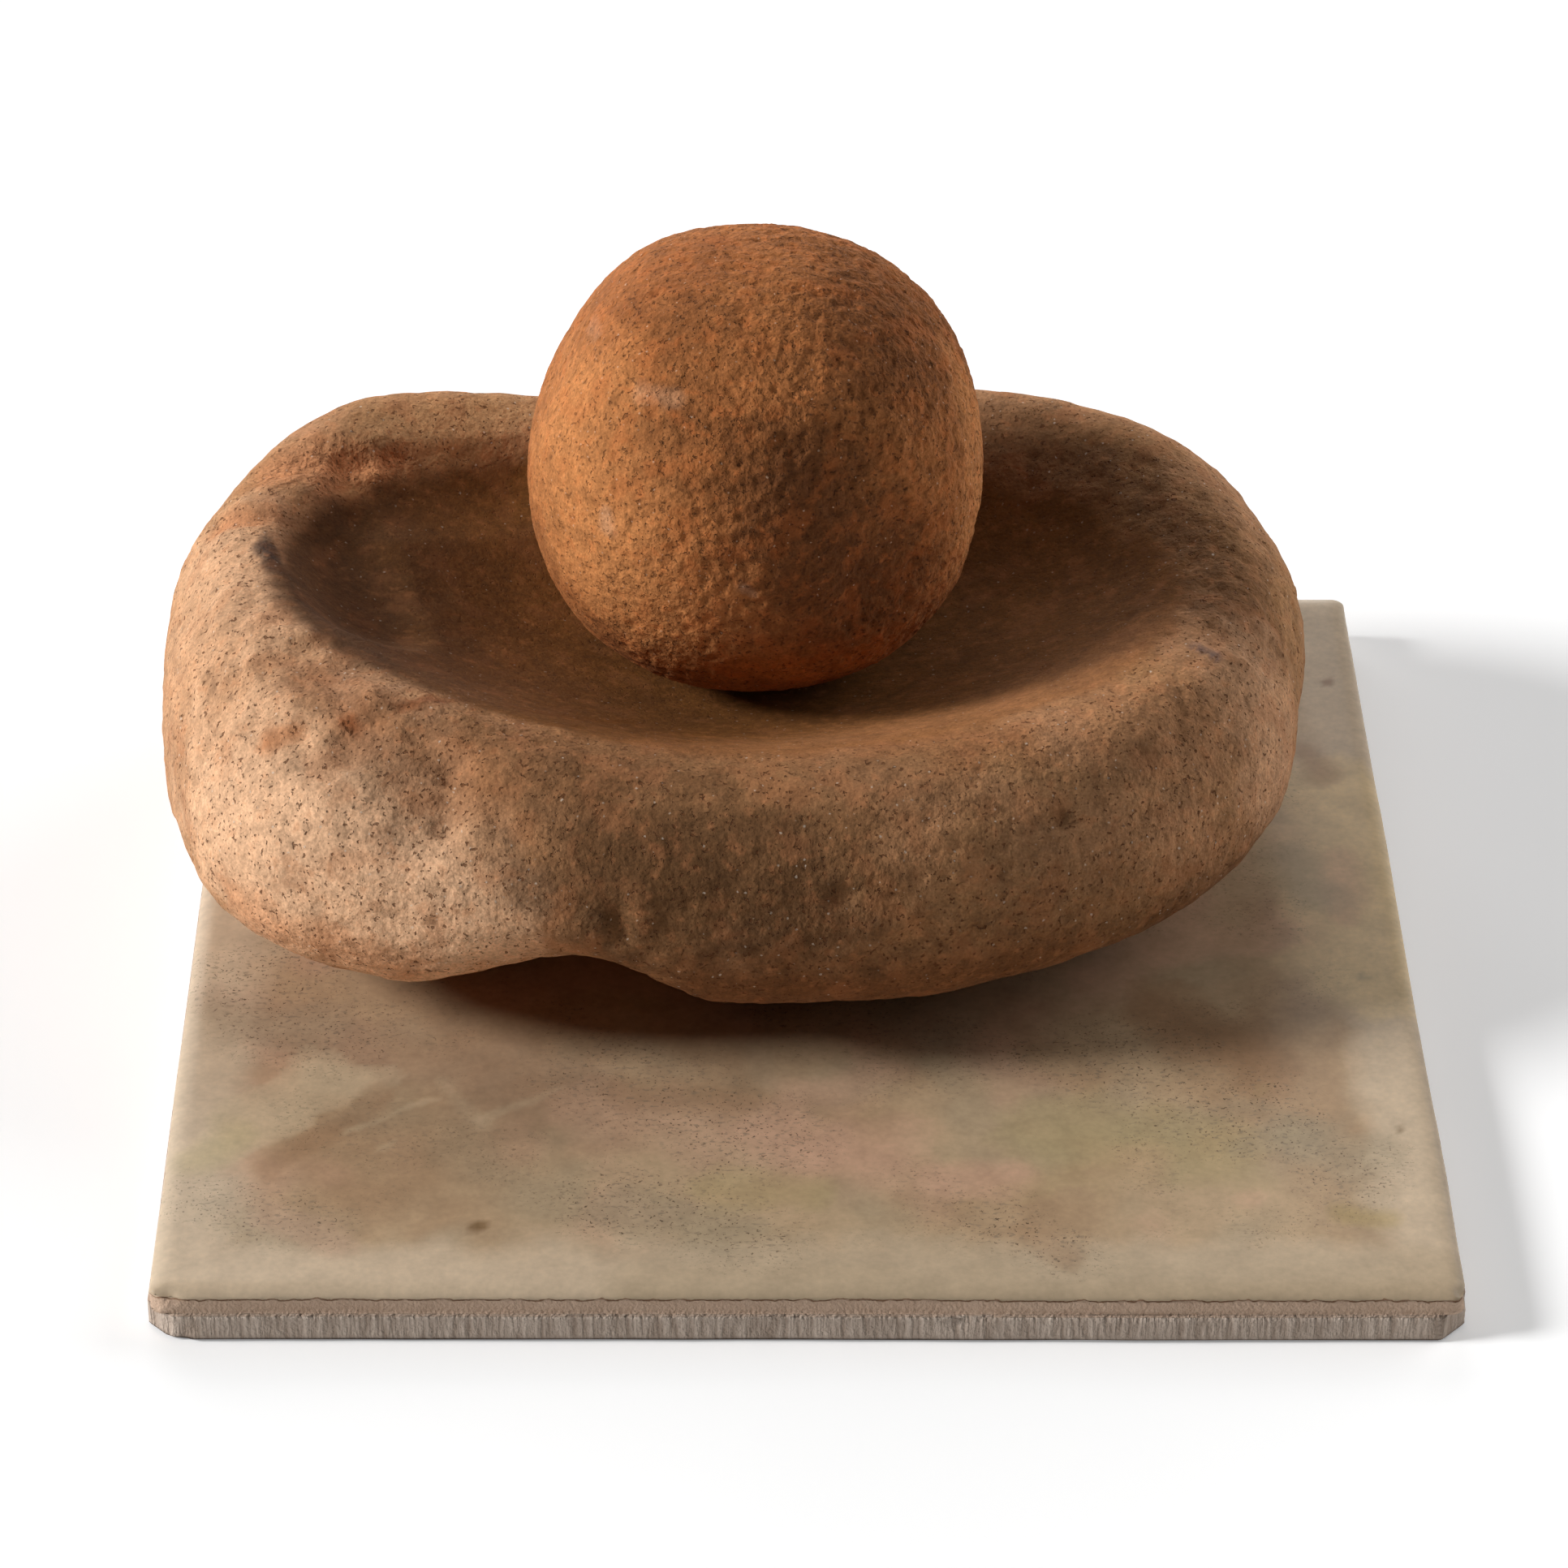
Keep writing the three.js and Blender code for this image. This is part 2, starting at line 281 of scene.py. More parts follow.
tile_stains = {
    # Painted shade: darker along the front border, as a lamp fading away
    "front border painted shade": Stain((800, 1592), (1740, 1592), 13, tone(186, 164, 134), 0.7),
    # Painted light on the tile's right, partly its pale border glaze
    "right border painted light": Stain((1650, 980), (1685, 1200), 15, tone(236, 207, 158), 0.85),
    "left mauve": Stain((300, 1240), (420, 1290), 10, tone(186, 154, 130), 0.5),
    "middle mauve": Stain((480, 1300), (700, 1350), 12, tone(178, 146, 120), 0.5),
    "left pink": Stain((330, 1500), (400, 1530), 5, glaze_pink, 0.6),
    "left pale patch": Stain((285, 1405), (400, 1325), 7, glaze_cream, 0.75, 0.35),
    "left pale tip": Stain((395, 1322), (455, 1332), 4.5, glaze_cream, 0.6, 0.4),
    "left olive tint": Stain((262, 1430), (285, 1400), 6, glaze_olive, 0.35),
    "left brown band": Stain((340, 1440), (460, 1350), 3.5, glaze_brown, 0.45),
    "left upper stain": Stain((275, 1250), (390, 1262), 8, glaze_grey, 0.5),
    "left lower stain": Stain((270, 1500), (395, 1520), 7, glaze_grey, 0.35),
    "left middle": Stain((450, 1440), (640, 1380), 16, glaze_brown, 0.3),
    "left streak": Stain((424, 1389), (540, 1357), 1.0, glaze_cream, 0.4, 0.4),
    "left lower streak": Stain((419, 1434), (509, 1405), 1.0, glaze_cream, 0.4, 0.4),
    "lens rim": Stain((546, 1330), (600, 1376), 2.4, glaze_cream, 0.25, 0.5),
    "lens streak": Stain((600, 1376), (690, 1338), 1.2, glaze_cream, 0.25, 0.5),
    "front brown dot": Stain((581, 1515), (585, 1517), 1.2, glaze_spot, 0.8, 0.5),
    "middle pink": Stain((760, 1380), (960, 1400), 12, glaze_pink, 0.5),
    "middle brown": Stain((770, 1350), (900, 1345), 7, glaze_brown, 0.5),
    "middle olive": Stain((890, 1465), (990, 1470), 6, glaze_olive, 0.4),
    "middle grey": Stain((760, 1490), (900, 1510), 6, glaze_grey, 0.6),
    "right pink": Stain((970, 1400), (1100, 1420), 9, glaze_pink, 0.6),
    "right pink patch": Stain((1175, 1455), (1240, 1440), 5, glaze_pink, 0.7),
    "front brown spot": Stain((1048, 1477), (1056, 1473), 1.4, glaze_spot, 0.8, 0.5),
    "front brown stain": Stain((1265, 1510), (1320, 1545), 5, glaze_brown, 0.55),
    # Partly a brown glaze stain, partly painted shade beside the bowl
    "brown stain and painted shade": Stain((1450, 1250), (1550, 1310), 10, glaze_brown, 0.85),
    "right olive": Stain((1300, 1400), (1500, 1420), 13, glaze_olive, 0.35),
    "yellow patch": Stain((1655, 1492), (1708, 1503), 3, tone(180, 156, 104), 0.6),
    "right pink dot": Stain((1515, 1475), (1545, 1477), 3.5, glaze_pink, 0.6),
    "right speckles": Stain((1580, 1400), (1680, 1425), 7, glaze_grey, 0.6),
    "right brown dot": Stain((1727, 1396), (1730, 1398), 0.8, glaze_spot, 0.8),
    "back brown dot": Stain((1640, 845), (1646, 846), 1.6, tone(136, 92, 66), 0.8, 0.5),
    "back grey dot": Stain((1636, 914), (1642, 916), 1.5, tone(110, 100, 88), 0.7, 0.5),
    "back brown stain": Stain((1612, 925), (1628, 955), 4.5, glaze_brown, 0.7),
    "right side pink": Stain((1646, 1060), (1660, 1130), 4, glaze_pink, 0.5),
    "right side grey": Stain((1585, 1060), (1630, 1105), 6, glaze_grey, 0.6),
    "side brown dot": Stain((1674, 1168), (1686, 1174), 1.3, tone(120, 78, 52), 0.9, 0.5),
    "side grey vein": Stain((1690, 1200), (1735, 1214), 1.8, tone(150, 138, 118), 0.6),
}


def make_camera():
    data = bpy.data.cameras.new("camera")
    data.lens = camera_lens
    data.sensor_width = camera_sensor
    camera = bpy.data.objects.new("camera", data)
    turn = Matrix.Rotation(camera_yaw, 4, "Z")
    turn @= Matrix.Rotation(math.pi / 2 - camera_pitch, 4, "X")
    turn @= Matrix.Rotation(camera_roll, 4, "Z")
    camera.matrix_world = Matrix.Translation(camera_place) @ turn
    bpy.context.collection.objects.link(camera)
    bpy.context.scene.camera = camera
    return turn.to_3x3()


camera_turn = make_camera()


def through_pixel(pixel):
    """The direction from the camera through a point of the photograph."""
    x, y = pixel
    across = (x / photo_side - 0.5) * camera_sensor
    up = (0.5 - y / photo_side) * camera_sensor
    return (camera_turn @ Vector((across, up, -camera_lens))).normalized()


def mesh_points(mesh):
    points = np.empty(len(mesh.vertices) * 3)
    mesh.vertices.foreach_get("co", points)
    return points.reshape(-1, 3)


def mesh_normals(mesh):
    normals = np.empty(len(mesh.vertices) * 3)
    mesh.vertex_normals.foreach_get("vector", normals)
    return normals.reshape(-1, 3)


def write_points(mesh, points):
    mesh.vertices.foreach_set("co", points.ravel())
    mesh.update()


def write_attribute(mesh, name, values):
    """Keeps a number or a colour for each point, which the material reads by its name."""
    if values.ndim == 1:
        mesh.attributes.new(name, "FLOAT", "POINT").data.foreach_set("value", values)
    else:
        mesh.attributes.new(name, "FLOAT_COLOR", "POINT").data.foreach_set("color", values.ravel())


def smooth_step(values, low, high):
    share = np.clip((values - low) / (high - low), 0, 1)
    return share * share * (3 - 2 * share)


def ripples(points, size, octaves, seed):
    """Smooth noise of about -1 to 1 at each point, in features of a size."""
    away = Vector((seed, -seed, 2 * seed))
    return np.array([noise.fractal(Vector(point) / size + away, 1.0, 2.0, octaves) for point in points])


def bent(points, size, reach, seed):
    """The points moved by smooth noise, so that what is drawn by them comes out crooked."""
    away = Vector((seed, 2 * seed, -seed))
    bends = [noise.noise_vector(Vector(point) / size + away) for point in points]
    return points + reach * np.array(bends)


def surface_tree(mesh):
    bm = bmesh.new()
    bm.from_mesh(mesh)
    tree = BVHTree.FromBMesh(bm)
    bm.free()
    return tree


def pixel_on(tree, middle, pixel):
    """Where the camera's ray through a point of the photograph meets a surface, or the nearest place to it."""
    direction = through_pixel(pixel)
    hit = tree.ray_cast(camera_place, direction)[0]
    if hit is None:
        passing = camera_place + direction * (middle - camera_place).dot(direction)
        hit = tree.find_nearest(passing)[0]
    return np.array(hit)


def nearness(points, ends, reach, softness, wander):
    """1 on the line between two ends, falling to 0 at the reach, which wanders from place to place."""
    start, end = ends
    along = end - start
    share = np.clip((points - start) @ along / max(along @ along, weld_reach**2), 0, 1)
    gap = np.linalg.norm(points - start - share[:, None] * along, axis=1)
    return np.clip(1 - (gap / (reach * mm) * (1 + wander)) ** 2, 0, 1) ** softness


def mark_depths(mesh, marks, wander):
    """How far the marks sink each point of a mesh."""
    points = mesh_points(mesh)
    tree, middle = surface_tree(mesh), Vector(points.mean(axis=0))
    depths = np.zeros(len(points))
    for mark in marks.values():
        ends = [pixel_on(tree, middle, pixel) for pixel in (mark.start, mark.end)]
        depths += mark.depth * mm * nearness(points, ends, mark.reach, mark.softness, wander)
    return depths


def stain_tones(mesh, tones, stains, wander, bend_size, bend_reach):
    """The tone of each point of a mesh, with the stains laid over it in turn."""
    points = mesh_points(mesh)
    tree, middle = surface_tree(mesh), Vector(points.mean(axis=0))
    bent_points = bent(points, bend_size, bend_reach, 9)
    for stain in stains.values():
        ends = [pixel_on(tree, middle, pixel) for pixel in (stain.start, stain.end)]
        share = stain.strength * nearness(bent_points, ends, stain.reach, stain.softness, wander)[:, None]
        tones = tones * (1 - share) + np.array(stain.tone) * share
    return tones


def blend_tones(one, other, share):
    return np.array(one) * (1 - share[:, None]) + np.array(other) * share[:, None]


def pit_depths(points, chances, count, reach, depth, seed):
    """How far a number of small round pits sink each point, with more pits where the chance is higher."""
    draw = np.random.default_rng(seed)
    tree = KDTree(len(points))
    for index, point in enumerate(points):
        tree.insert(point, index)
    tree.balance()
    depths = np.zeros(len(points))
    centres = draw.choice(len(points), count, p=chances / chances.sum())
    for centre, size in zip(centres, draw.uniform(0.5, 1.3, count)):
        for _, index, gap in tree.find_range(points[centre], size * reach):
            depths[index] = max(depths[index], size * depth * (1 - (gap / (size * reach)) ** 2))
    return depths


def finer_copy(node, name, splits):
    """A welded, split and smoothed copy of a CAD node, as a piece of its own that stands for the node."""
    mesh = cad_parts[node].data.copy()
    bm = bmesh.new()
    bm.from_mesh(mesh)
    bmesh.ops.remove_doubles(bm, verts=bm.verts, dist=weld_reach)
    bm.to_mesh(mesh)
    bm.free()
    piece = bpy.data.objects.new(name, mesh)
    bpy.context.collection.objects.link(piece)
    split = piece.modifiers.new("split", "SUBSURF")
    split.levels = splits
    shaped = piece.evaluated_get(bpy.context.evaluated_depsgraph_get())
    piece.data = bpy.data.meshes.new_from_object(shaped)
    piece.modifiers.clear()
    piece.data.materials.clear()
    for kept in [attribute.name for attribute in piece.data.attributes if attribute.name.startswith("custom")]:
        piece.data.attributes.remove(piece.data.attributes[kept])
    piece.data.shade_smooth()
    return piece


class Paint:
    """The node tree of one material. What feeds a socket is a number, a colour or another node's output."""

    def __init__(self, name):
        self.material = bpy.data.materials.new(name)
        self.material.use_nodes = True
        self.tree = self.material.node_tree
        self.shader = self.tree.nodes["Principled BSDF"]
        self.place = self.add("TexCoord").outputs["Object"]

    def feed(self, socket, value):
        if isinstance(value, bpy.types.NodeSocket):
            self.tree.links.new(value, socket)
        else:
            socket.default_value = value

    def add(self, kind, inputs=None, **settings):
        node = self.tree.nodes.new("ShaderNode" + kind)
        for key, value in settings.items():
            setattr(node, key, value)
        for key, value in (inputs or {}).items():
            self.feed(node.inputs[key], value)
        return node

    def math(self, operation, one, other=0.0):
        return self.add("Math", {0: one, 1: other}, operation=operation).outputs[0]

    def mix(self, share, one, other, blend="MIX"):
        settings = {"data_type": "RGBA", "blend_type": blend}
        return self.add("Mix", {0: share, 6: one, 7: other}, **settings).outputs[2]

    def ramp(self, value, low, high, low_result=0.0, high_result=1.0):
        """Goes smoothly from one result to the other as the value goes from low to high."""
        inputs = {"Value": value, "From Min": low, "From Max": high, "To Min": low_result, "To Max": high_result}
        return self.add("MapRange", inputs, interpolation_type="SMOOTHSTEP").outputs["Result"]

    def stretched(self, x, y, z):
        return self.add("Mapping", {"Vector": self.place, "Scale": (x, y, z)}).outputs[0]

    def noise(self, size, detail=2.0, place=None):
        inputs = {"Vector": place or self.place, "Scale": 1 / size, "Detail": detail}
        return self.add("TexNoise", inputs).outputs["Fac"]

    def cells(self, size, place=None):
        """The distance from the middle of the nearest grain, and a random number for each grain."""
        node = self.add("TexVoronoi", {"Vector": place or self.place, "Scale": 1 / size})
        split = self.add("SeparateColor", {"Color": node.outputs["Color"]})
        return node.outputs["Distance"], split.outputs[0]

    def crooked(self, size, reach):
        """The place of each point, moved about by noise."""
        away = self.add("TexNoise", {"Vector": self.place, "Scale": 1 / size}).outputs["Color"]
        inputs = {0: away, 1: (reach, reach, reach), 2: self.place}
        return self.add("VectorMath", inputs, operation="MULTIPLY_ADD").outputs[0]

    def attribute(self, name, output="Fac"):
        return self.add("Attribute", attribute_name=name).outputs[output]

    def bump(self, height, depth, normal=None):
        inputs = {"Height": height, "Distance": depth}
        if normal:
            inputs["Normal"] = normal
        return self.add("Bump", inputs).outputs["Normal"]

    def finish(self, colour, roughness, normal):
        for name, value in (("Base Color", colour), ("Roughness", roughness), ("Normal", normal)):
            self.feed(self.shader.inputs[name], value)
        return self.material


def grey(level):
    return (level, level, level, 1.0)


def stone_material(name, grain, grain_depth, freckle_tone, hollow_tone, quartz_tone, pore_start, pore_darkening):
    """Fine sandstone: layered and mottled, with rusty freckles, ragged pores, pecked pits and a few bright grains."""
    paint = Paint(name)
    rough_share = paint.ramp(paint.attribute("wear"), 0.0, 1.0, 1.0, 0.45)
    colour = paint.attribute("tone", "Color")
    layers = paint.noise(5 * grain, 2, paint.stretched(0.12, 0.12, 1))
    colour = paint.mix(1.0, colour, paint.mix(layers, grey(0.8), grey(1.2)), "MULTIPLY")
    for size, spread in ((16 * grain, 0.28), (4 * grain, 0.4), (0.9 * grain, 0.5)):
        mottle = paint.mix(paint.noise(size, 3), grey(1 - spread), grey(1 + spread))
        colour = paint.mix(1.0, colour, mottle, "MULTIPLY")
    freckles = paint.math("MULTIPLY", paint.ramp(paint.noise(4 * grain, 3), 0.56, 0.72, 0.0, 0.36), rough_share)
    colour = paint.mix(freckles, colour, freckle_tone)
    blotches = paint.math("MULTIPLY", paint.ramp(paint.noise(11 * grain, 4), 0.5, 0.66, 0.0, 0.3), rough_share)
    colour = paint.mix(blotches, colour, freckle_tone)
    pores = paint.ramp(paint.noise(0.8 * mm, 2), pore_start, pore_start + 0.08)
    pore = paint.math("MULTIPLY", pores, rough_share)
    pecked = paint.math("MULTIPLY", paint.attribute("pecked"), rough_share)
    peck_height = paint.noise(3 * grain, 4, paint.stretched(1, 1, 0.8))
    peck = paint.math("MULTIPLY", paint.ramp(peck_height, 0.32, 0.46, 1.0, 0.0), pecked)
    # Darker in the pores, pits and pecked hollows
    hollow_darkening = paint.math("MAXIMUM", paint.math("MULTIPLY", pore, pore_darkening), paint.attribute("sunk"))
    hollow_darkening = paint.math("MAXIMUM", paint.math("MULTIPLY", peck, 0.5 * pore_darkening), hollow_darkening)
    colour = paint.mix(hollow_darkening, colour, hollow_tone)
    quartz_gap, quartz_draw = paint.cells(2.4 * grain, paint.crooked(grain, grain))
    is_quartz = paint.math("MULTIPLY", paint.ramp(quartz_draw, 0.72, 0.82), rough_share)
    quartz = paint.math("MULTIPLY", paint.ramp(quartz_gap, 0.08, 0.2, 0.55, 0.0), is_quartz)
    colour = paint.mix(quartz, colour, quartz_tone)
    roughness = paint.mix(quartz, grey(0.9), grey(0.5))
    grain_height = paint.math("MULTIPLY", paint.noise(2.2 * grain, 5), rough_share)
    normal = paint.bump(grain_height, grain_depth)
    normal = paint.bump(paint.math("SUBTRACT", 1.0, pore), 0.4 * grain, normal)
    normal = paint.bump(paint.math("MULTIPLY", peck_height, pecked), 2.2 * grain, normal)
    paint.shader.inputs["Specular IOR Level"].default_value = 0.15
    return paint.finish(colour, roughness, normal)


def build_bowl():
    bowl = finer_copy("grinding_bowl", "carved_bowl", bowl_splits)
    mesh = bowl.data
    points, normals = mesh_points(mesh), mesh_normals(mesh)
    low, high = (np.array(corner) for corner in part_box("grinding_bowl"))
    shares = (points - low) / (high - low)
    wander = 0.3 * ripples(points, 7 * mm, 3, 1)
    from_dish = np.hypot(*((shares[:, :2] - dish_middle_share) / dish_half_share).T)
    wear = smooth_step(-from_dish - 0.1 * wander, -1 - dish_edge_blend / 2, -1 + dish_edge_blend / 2)
    wear *= smooth_step(shares[:, 2], 0.4, 0.5) * smooth_step(normals[:, 2], 0.3, 0.6)
    rough = 1 - 0.85 * wear
    off_seat = smooth_step(shares[:, 2], 0.02, 0.1)
    waves = 0.35 * mm * (1 - wear) * (ripples(points, 26 * mm, 2, 2) + 0.4)
    dapple = 0.22 * mm * rough * (ripples(points, 3.4 * mm, 3, 3) + 0.5)
    lumps = 0.3 * mm * rough * (ripples(points, 9 * mm, 3, 7) + 0.3)
    pits = pit_depths(points, rough * (0.2 + shares[:, 0]), 2400, 1.2 * mm, 0.36 * mm, 4)
    broken = rough * mark_depths(mesh, bowl_broken, wander) / mm
    facets = 1.3 * mm * broken * (0.3 - np.abs(ripples(points, 8 * mm, 4, 8)))
    marks = mark_depths(mesh, bowl_marks, wander) + mark_depths(mesh, bowl_dips, 0)
    sunk = off_seat * (waves + dapple + lumps + facets + pits + marks)
    base = blend_tones(bowl_tan, bowl_pink_tan, smooth_step(ripples(points, 30 * mm, 3, 5), -0.4, 0.4))
    base = blend_tones(base, bowl_grey, 0.4 * smooth_step(ripples(points, 22 * mm, 3, 6), 0.1, 0.6))
    # Painted shade: darker on the faces that look down, under the bowl
    under = smooth_step(-normals[:, 2], -0.3, 0.4) * smooth_step(shares[:, 0], 0.3, 0.5)
    base = blend_tones(base, bowl_underside_painted_shade, 0.8 * under)
    tones = stain_tones(mesh, base, bowl_stains, 1.6 * wander, 8 * mm, 1.2 * mm)
    # Painted light and shade in the dish: the lit tone towards the front, the shaded tone behind a slanted line,
    # darker still at the left end
    toward_dish_painted_shade = shares[:, 1] - 0.55 * shares[:, 0]
    dish = blend_tones(bowl_dish_front_painted_light, bowl_dish_wear_and_painted_shade, smooth_step(toward_dish_painted_shade, -0.1, 0.04))
    dish = blend_tones(dish, bowl_dish_end_painted_shade, smooth_step(-shares[:, 0], -0.34, -0.16))
    write_attribute(mesh, "tone", blend_tones(tones, dish, 0.92 * wear))
    write_attribute(mesh, "wear", wear)
    write_attribute(mesh, "pecked", 0.1 + mark_depths(mesh, bowl_pecked, wander) / mm)
    write_attribute(mesh, "sunk", 0.15 * smooth_step(pits, 0.1 * mm, 0.5 * mm))
    write_points(mesh, points - normals * sunk[:, None])
    mesh.materials.append(
        stone_material(
            "bowl stone",
            grain=0.55 * mm,
            grain_depth=0.42 * mm,
            freckle_tone=tone(186, 122, 80),
            hollow_tone=tone(104, 62, 34),
            quartz_tone=tone(232, 214, 194),
            pore_start=0.62,
            pore_darkening=0.75,
        )
    )
    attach(bowl, "bowl")
    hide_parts("grinding_bowl")


def build_pestle():
    pestle = finer_copy("pestle", "pecked_pestle", pestle_splits)
    mesh = pestle.data
    points, normals = mesh_points(mesh), mesh_normals(mesh)
    low, high = (np.array(corner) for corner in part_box("pestle"))
    shares = (points - low) / (high - low)
    wander = 0.3 * ripples(points, 5 * mm, 3, 11)
    wear = smooth_step(-shares[:, 0] + 0.2 * wander, -0.42, -0.02)
    waves = 0.35 * mm * (ripples(points, 17 * mm, 2, 12) + 0.4)
    dapple = 0.15 * mm * (ripples(points, 2.2 * mm, 3, 13) + 0.5)
    coarse = smooth_step(shares[:, 0] - 0.4 * np.abs(shares[:, 2] - 0.55), 0.2, 0.6)
    pits = pit_depths(points, 0.3 + coarse, 4200, 1.0 * mm, 0.3 * mm, 14)
    marks = mark_depths(mesh, pestle_marks, wander)
    base = blend_tones(pestle_rust, pestle_brown, 0.5 * smooth_step(ripples(points, 14 * mm, 3, 15), -0.2, 0.6))
    write_attribute(mesh, "tone", stain_tones(mesh, base, pestle_stains, 1.4 * wander, 6 * mm, 1 * mm))
    write_attribute(mesh, "wear", 0.5 * wear)
    write_attribute(mesh, "pecked", 0.35 + 0.65 * coarse)
    write_attribute(mesh, "sunk", 0.12 * smooth_step(pits, 0.1 * mm, 0.4 * mm))
    sunk = waves + dapple + pits * (1 - 0.4 * wear) + marks
    write_points(mesh, points - normals * sunk[:, None])
    mesh.materials.append(
        stone_material(
            "pestle stone",
            grain=0.5 * mm,
            grain_depth=0.5 * mm,
            freckle_tone=tone(200, 112, 58),
            hollow_tone=tone(80, 46, 25),
            quartz_tone=tone(228, 190, 160),
            pore_start=0.6,
            pore_darkening=0.55,
        )
    )
    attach(pestle, "hand_stone")
    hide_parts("pestle")


def square_points(half, corner, cut, places):
    """Points on a square with rounded or cut corners, where each place is on the unit square."""
    corner = min(corner, half)
    spans = half * np.abs(places)
    along = np.clip(spans.min(axis=1) - (half - corner), 0, None)
    angle = along / corner * math.pi / 4
    major = half - (along / 2 if cut else corner * (1 - np.cos(angle)))
    minor = np.where(along > 0, half - corner + (along / 2 if cut else corner * np.sin(angle)), spans.min(axis=1))
    x_leads = spans[:, 0] >= spans[:, 1]
    x = np.where(x_leads, major, minor) * np.sign(places[:, 0])
    y = np.where(x_leads, minor, major) * np.sign(places[:, 1])
    return np.stack([x, y], axis=1)


def tile_top(half, height):
    """Points and faces of the glazed top, on a grid that is finer at its cushioned edge."""
    insets = np.array(tile_edge_insets) * mm
    steps = math.ceil((half - insets[-1]) / tile_grid_step)
    inner = np.linspace(0, half - insets[-1], steps, endpoint=False)
    outer = (half - insets)[::-1]
    line = np.concatenate([inner, outer])
    line = np.concatenate([-line[:0:-1], line])
    grid = np.stack(np.meshgrid(line, line, indexing="xy"), axis=-1).reshape(-1, 2)
    reach = np.abs(grid).max(axis=1)
    points = np.zeros((len(grid), 3))
    for ring in np.unique(reach):
        on_ring = np.isclose(reach, ring)
        if ring > 0:
            corner = tile_corner_round * (ring / half) ** 4
            points[on_ring, :2] = square_points(ring, corner, False, grid[on_ring] / ring)
    from_edge = np.clip((half - reach) / tile_cushion, 0, 1)
    rise = np.sqrt(1 - (1 - from_edge) ** 2)
    points[:, 2] = tile_glaze_height + (height - tile_glaze_height) * rise
    count = len(line)
    faces = []
    for row in range(count - 1):
        for column in range(count - 1):
            corner = row * count + column
            faces.append((corner, corner + 1, corner + count + 1, corner + count))
    edge = list(range(count))
    edge += [row * count + count - 1 for row in range(1, count)]
    edge += [(count - 1) * count + column for column in range(count - 2, -1, -1)]
    edge += [row * count for row in range(count - 2, 0, -1)]
    return points, faces, edge, grid[edge] / half


def tile_rings(half):
    """Rings below the glazed top, from its edge down to the foot: height, half side, corner size, corner is cut."""
    glaze_half = half - tile_ledge
    rings = [(tile_glaze_height - tile_bead, glaze_half - tile_bead, tile_corner_round, False)]
    for step in range(tile_side_steps + 1):
        height = tile_glaze_height - 2 * tile_bead - (tile_glaze_height - 2 * tile_bead - tile_body_height) * (
            step / tile_side_steps
        )
        rings.append((height, glaze_half - 0.6 * tile_bead, tile_corner_round, False))
    for step in range(tile_side_steps + 1):
        height = tile_body_height - (tile_body_height - tile_foot_round) * step / tile_side_steps
        rings.append((height, half, tile_body_chamfer, True))
    rings.append((0, half - tile_foot_round, tile_body_chamfer, True))
    return rings


def tile_mesh():
    low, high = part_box("base_tile")
    half = (high.x - low.x) / 2
    points, faces, above, places = tile_top(half - tile_ledge, high.z)
    points = [points]
    count = len(points[0])
    for height, ring_half, corner, cut in tile_rings(half):
        ring = square_points(ring_half, corner, cut, places)
        points.append(np.column_stack([ring, np.full(len(ring), height)]))
        below = list(range(count, count + len(ring)))
        for step, start in enumerate(below):
            step_next = (step + 1) % len(below)
            faces.append((start, below[step_next], above[step_next], above[step]))
        above = below
        count += len(ring)
    faces.append(tuple(reversed(above)))
    mesh = bpy.data.meshes.new("glazed_tile")
    mesh.from_pydata(np.concatenate(points).tolist(), [], faces)
    mesh.shade_smooth()
    return mesh


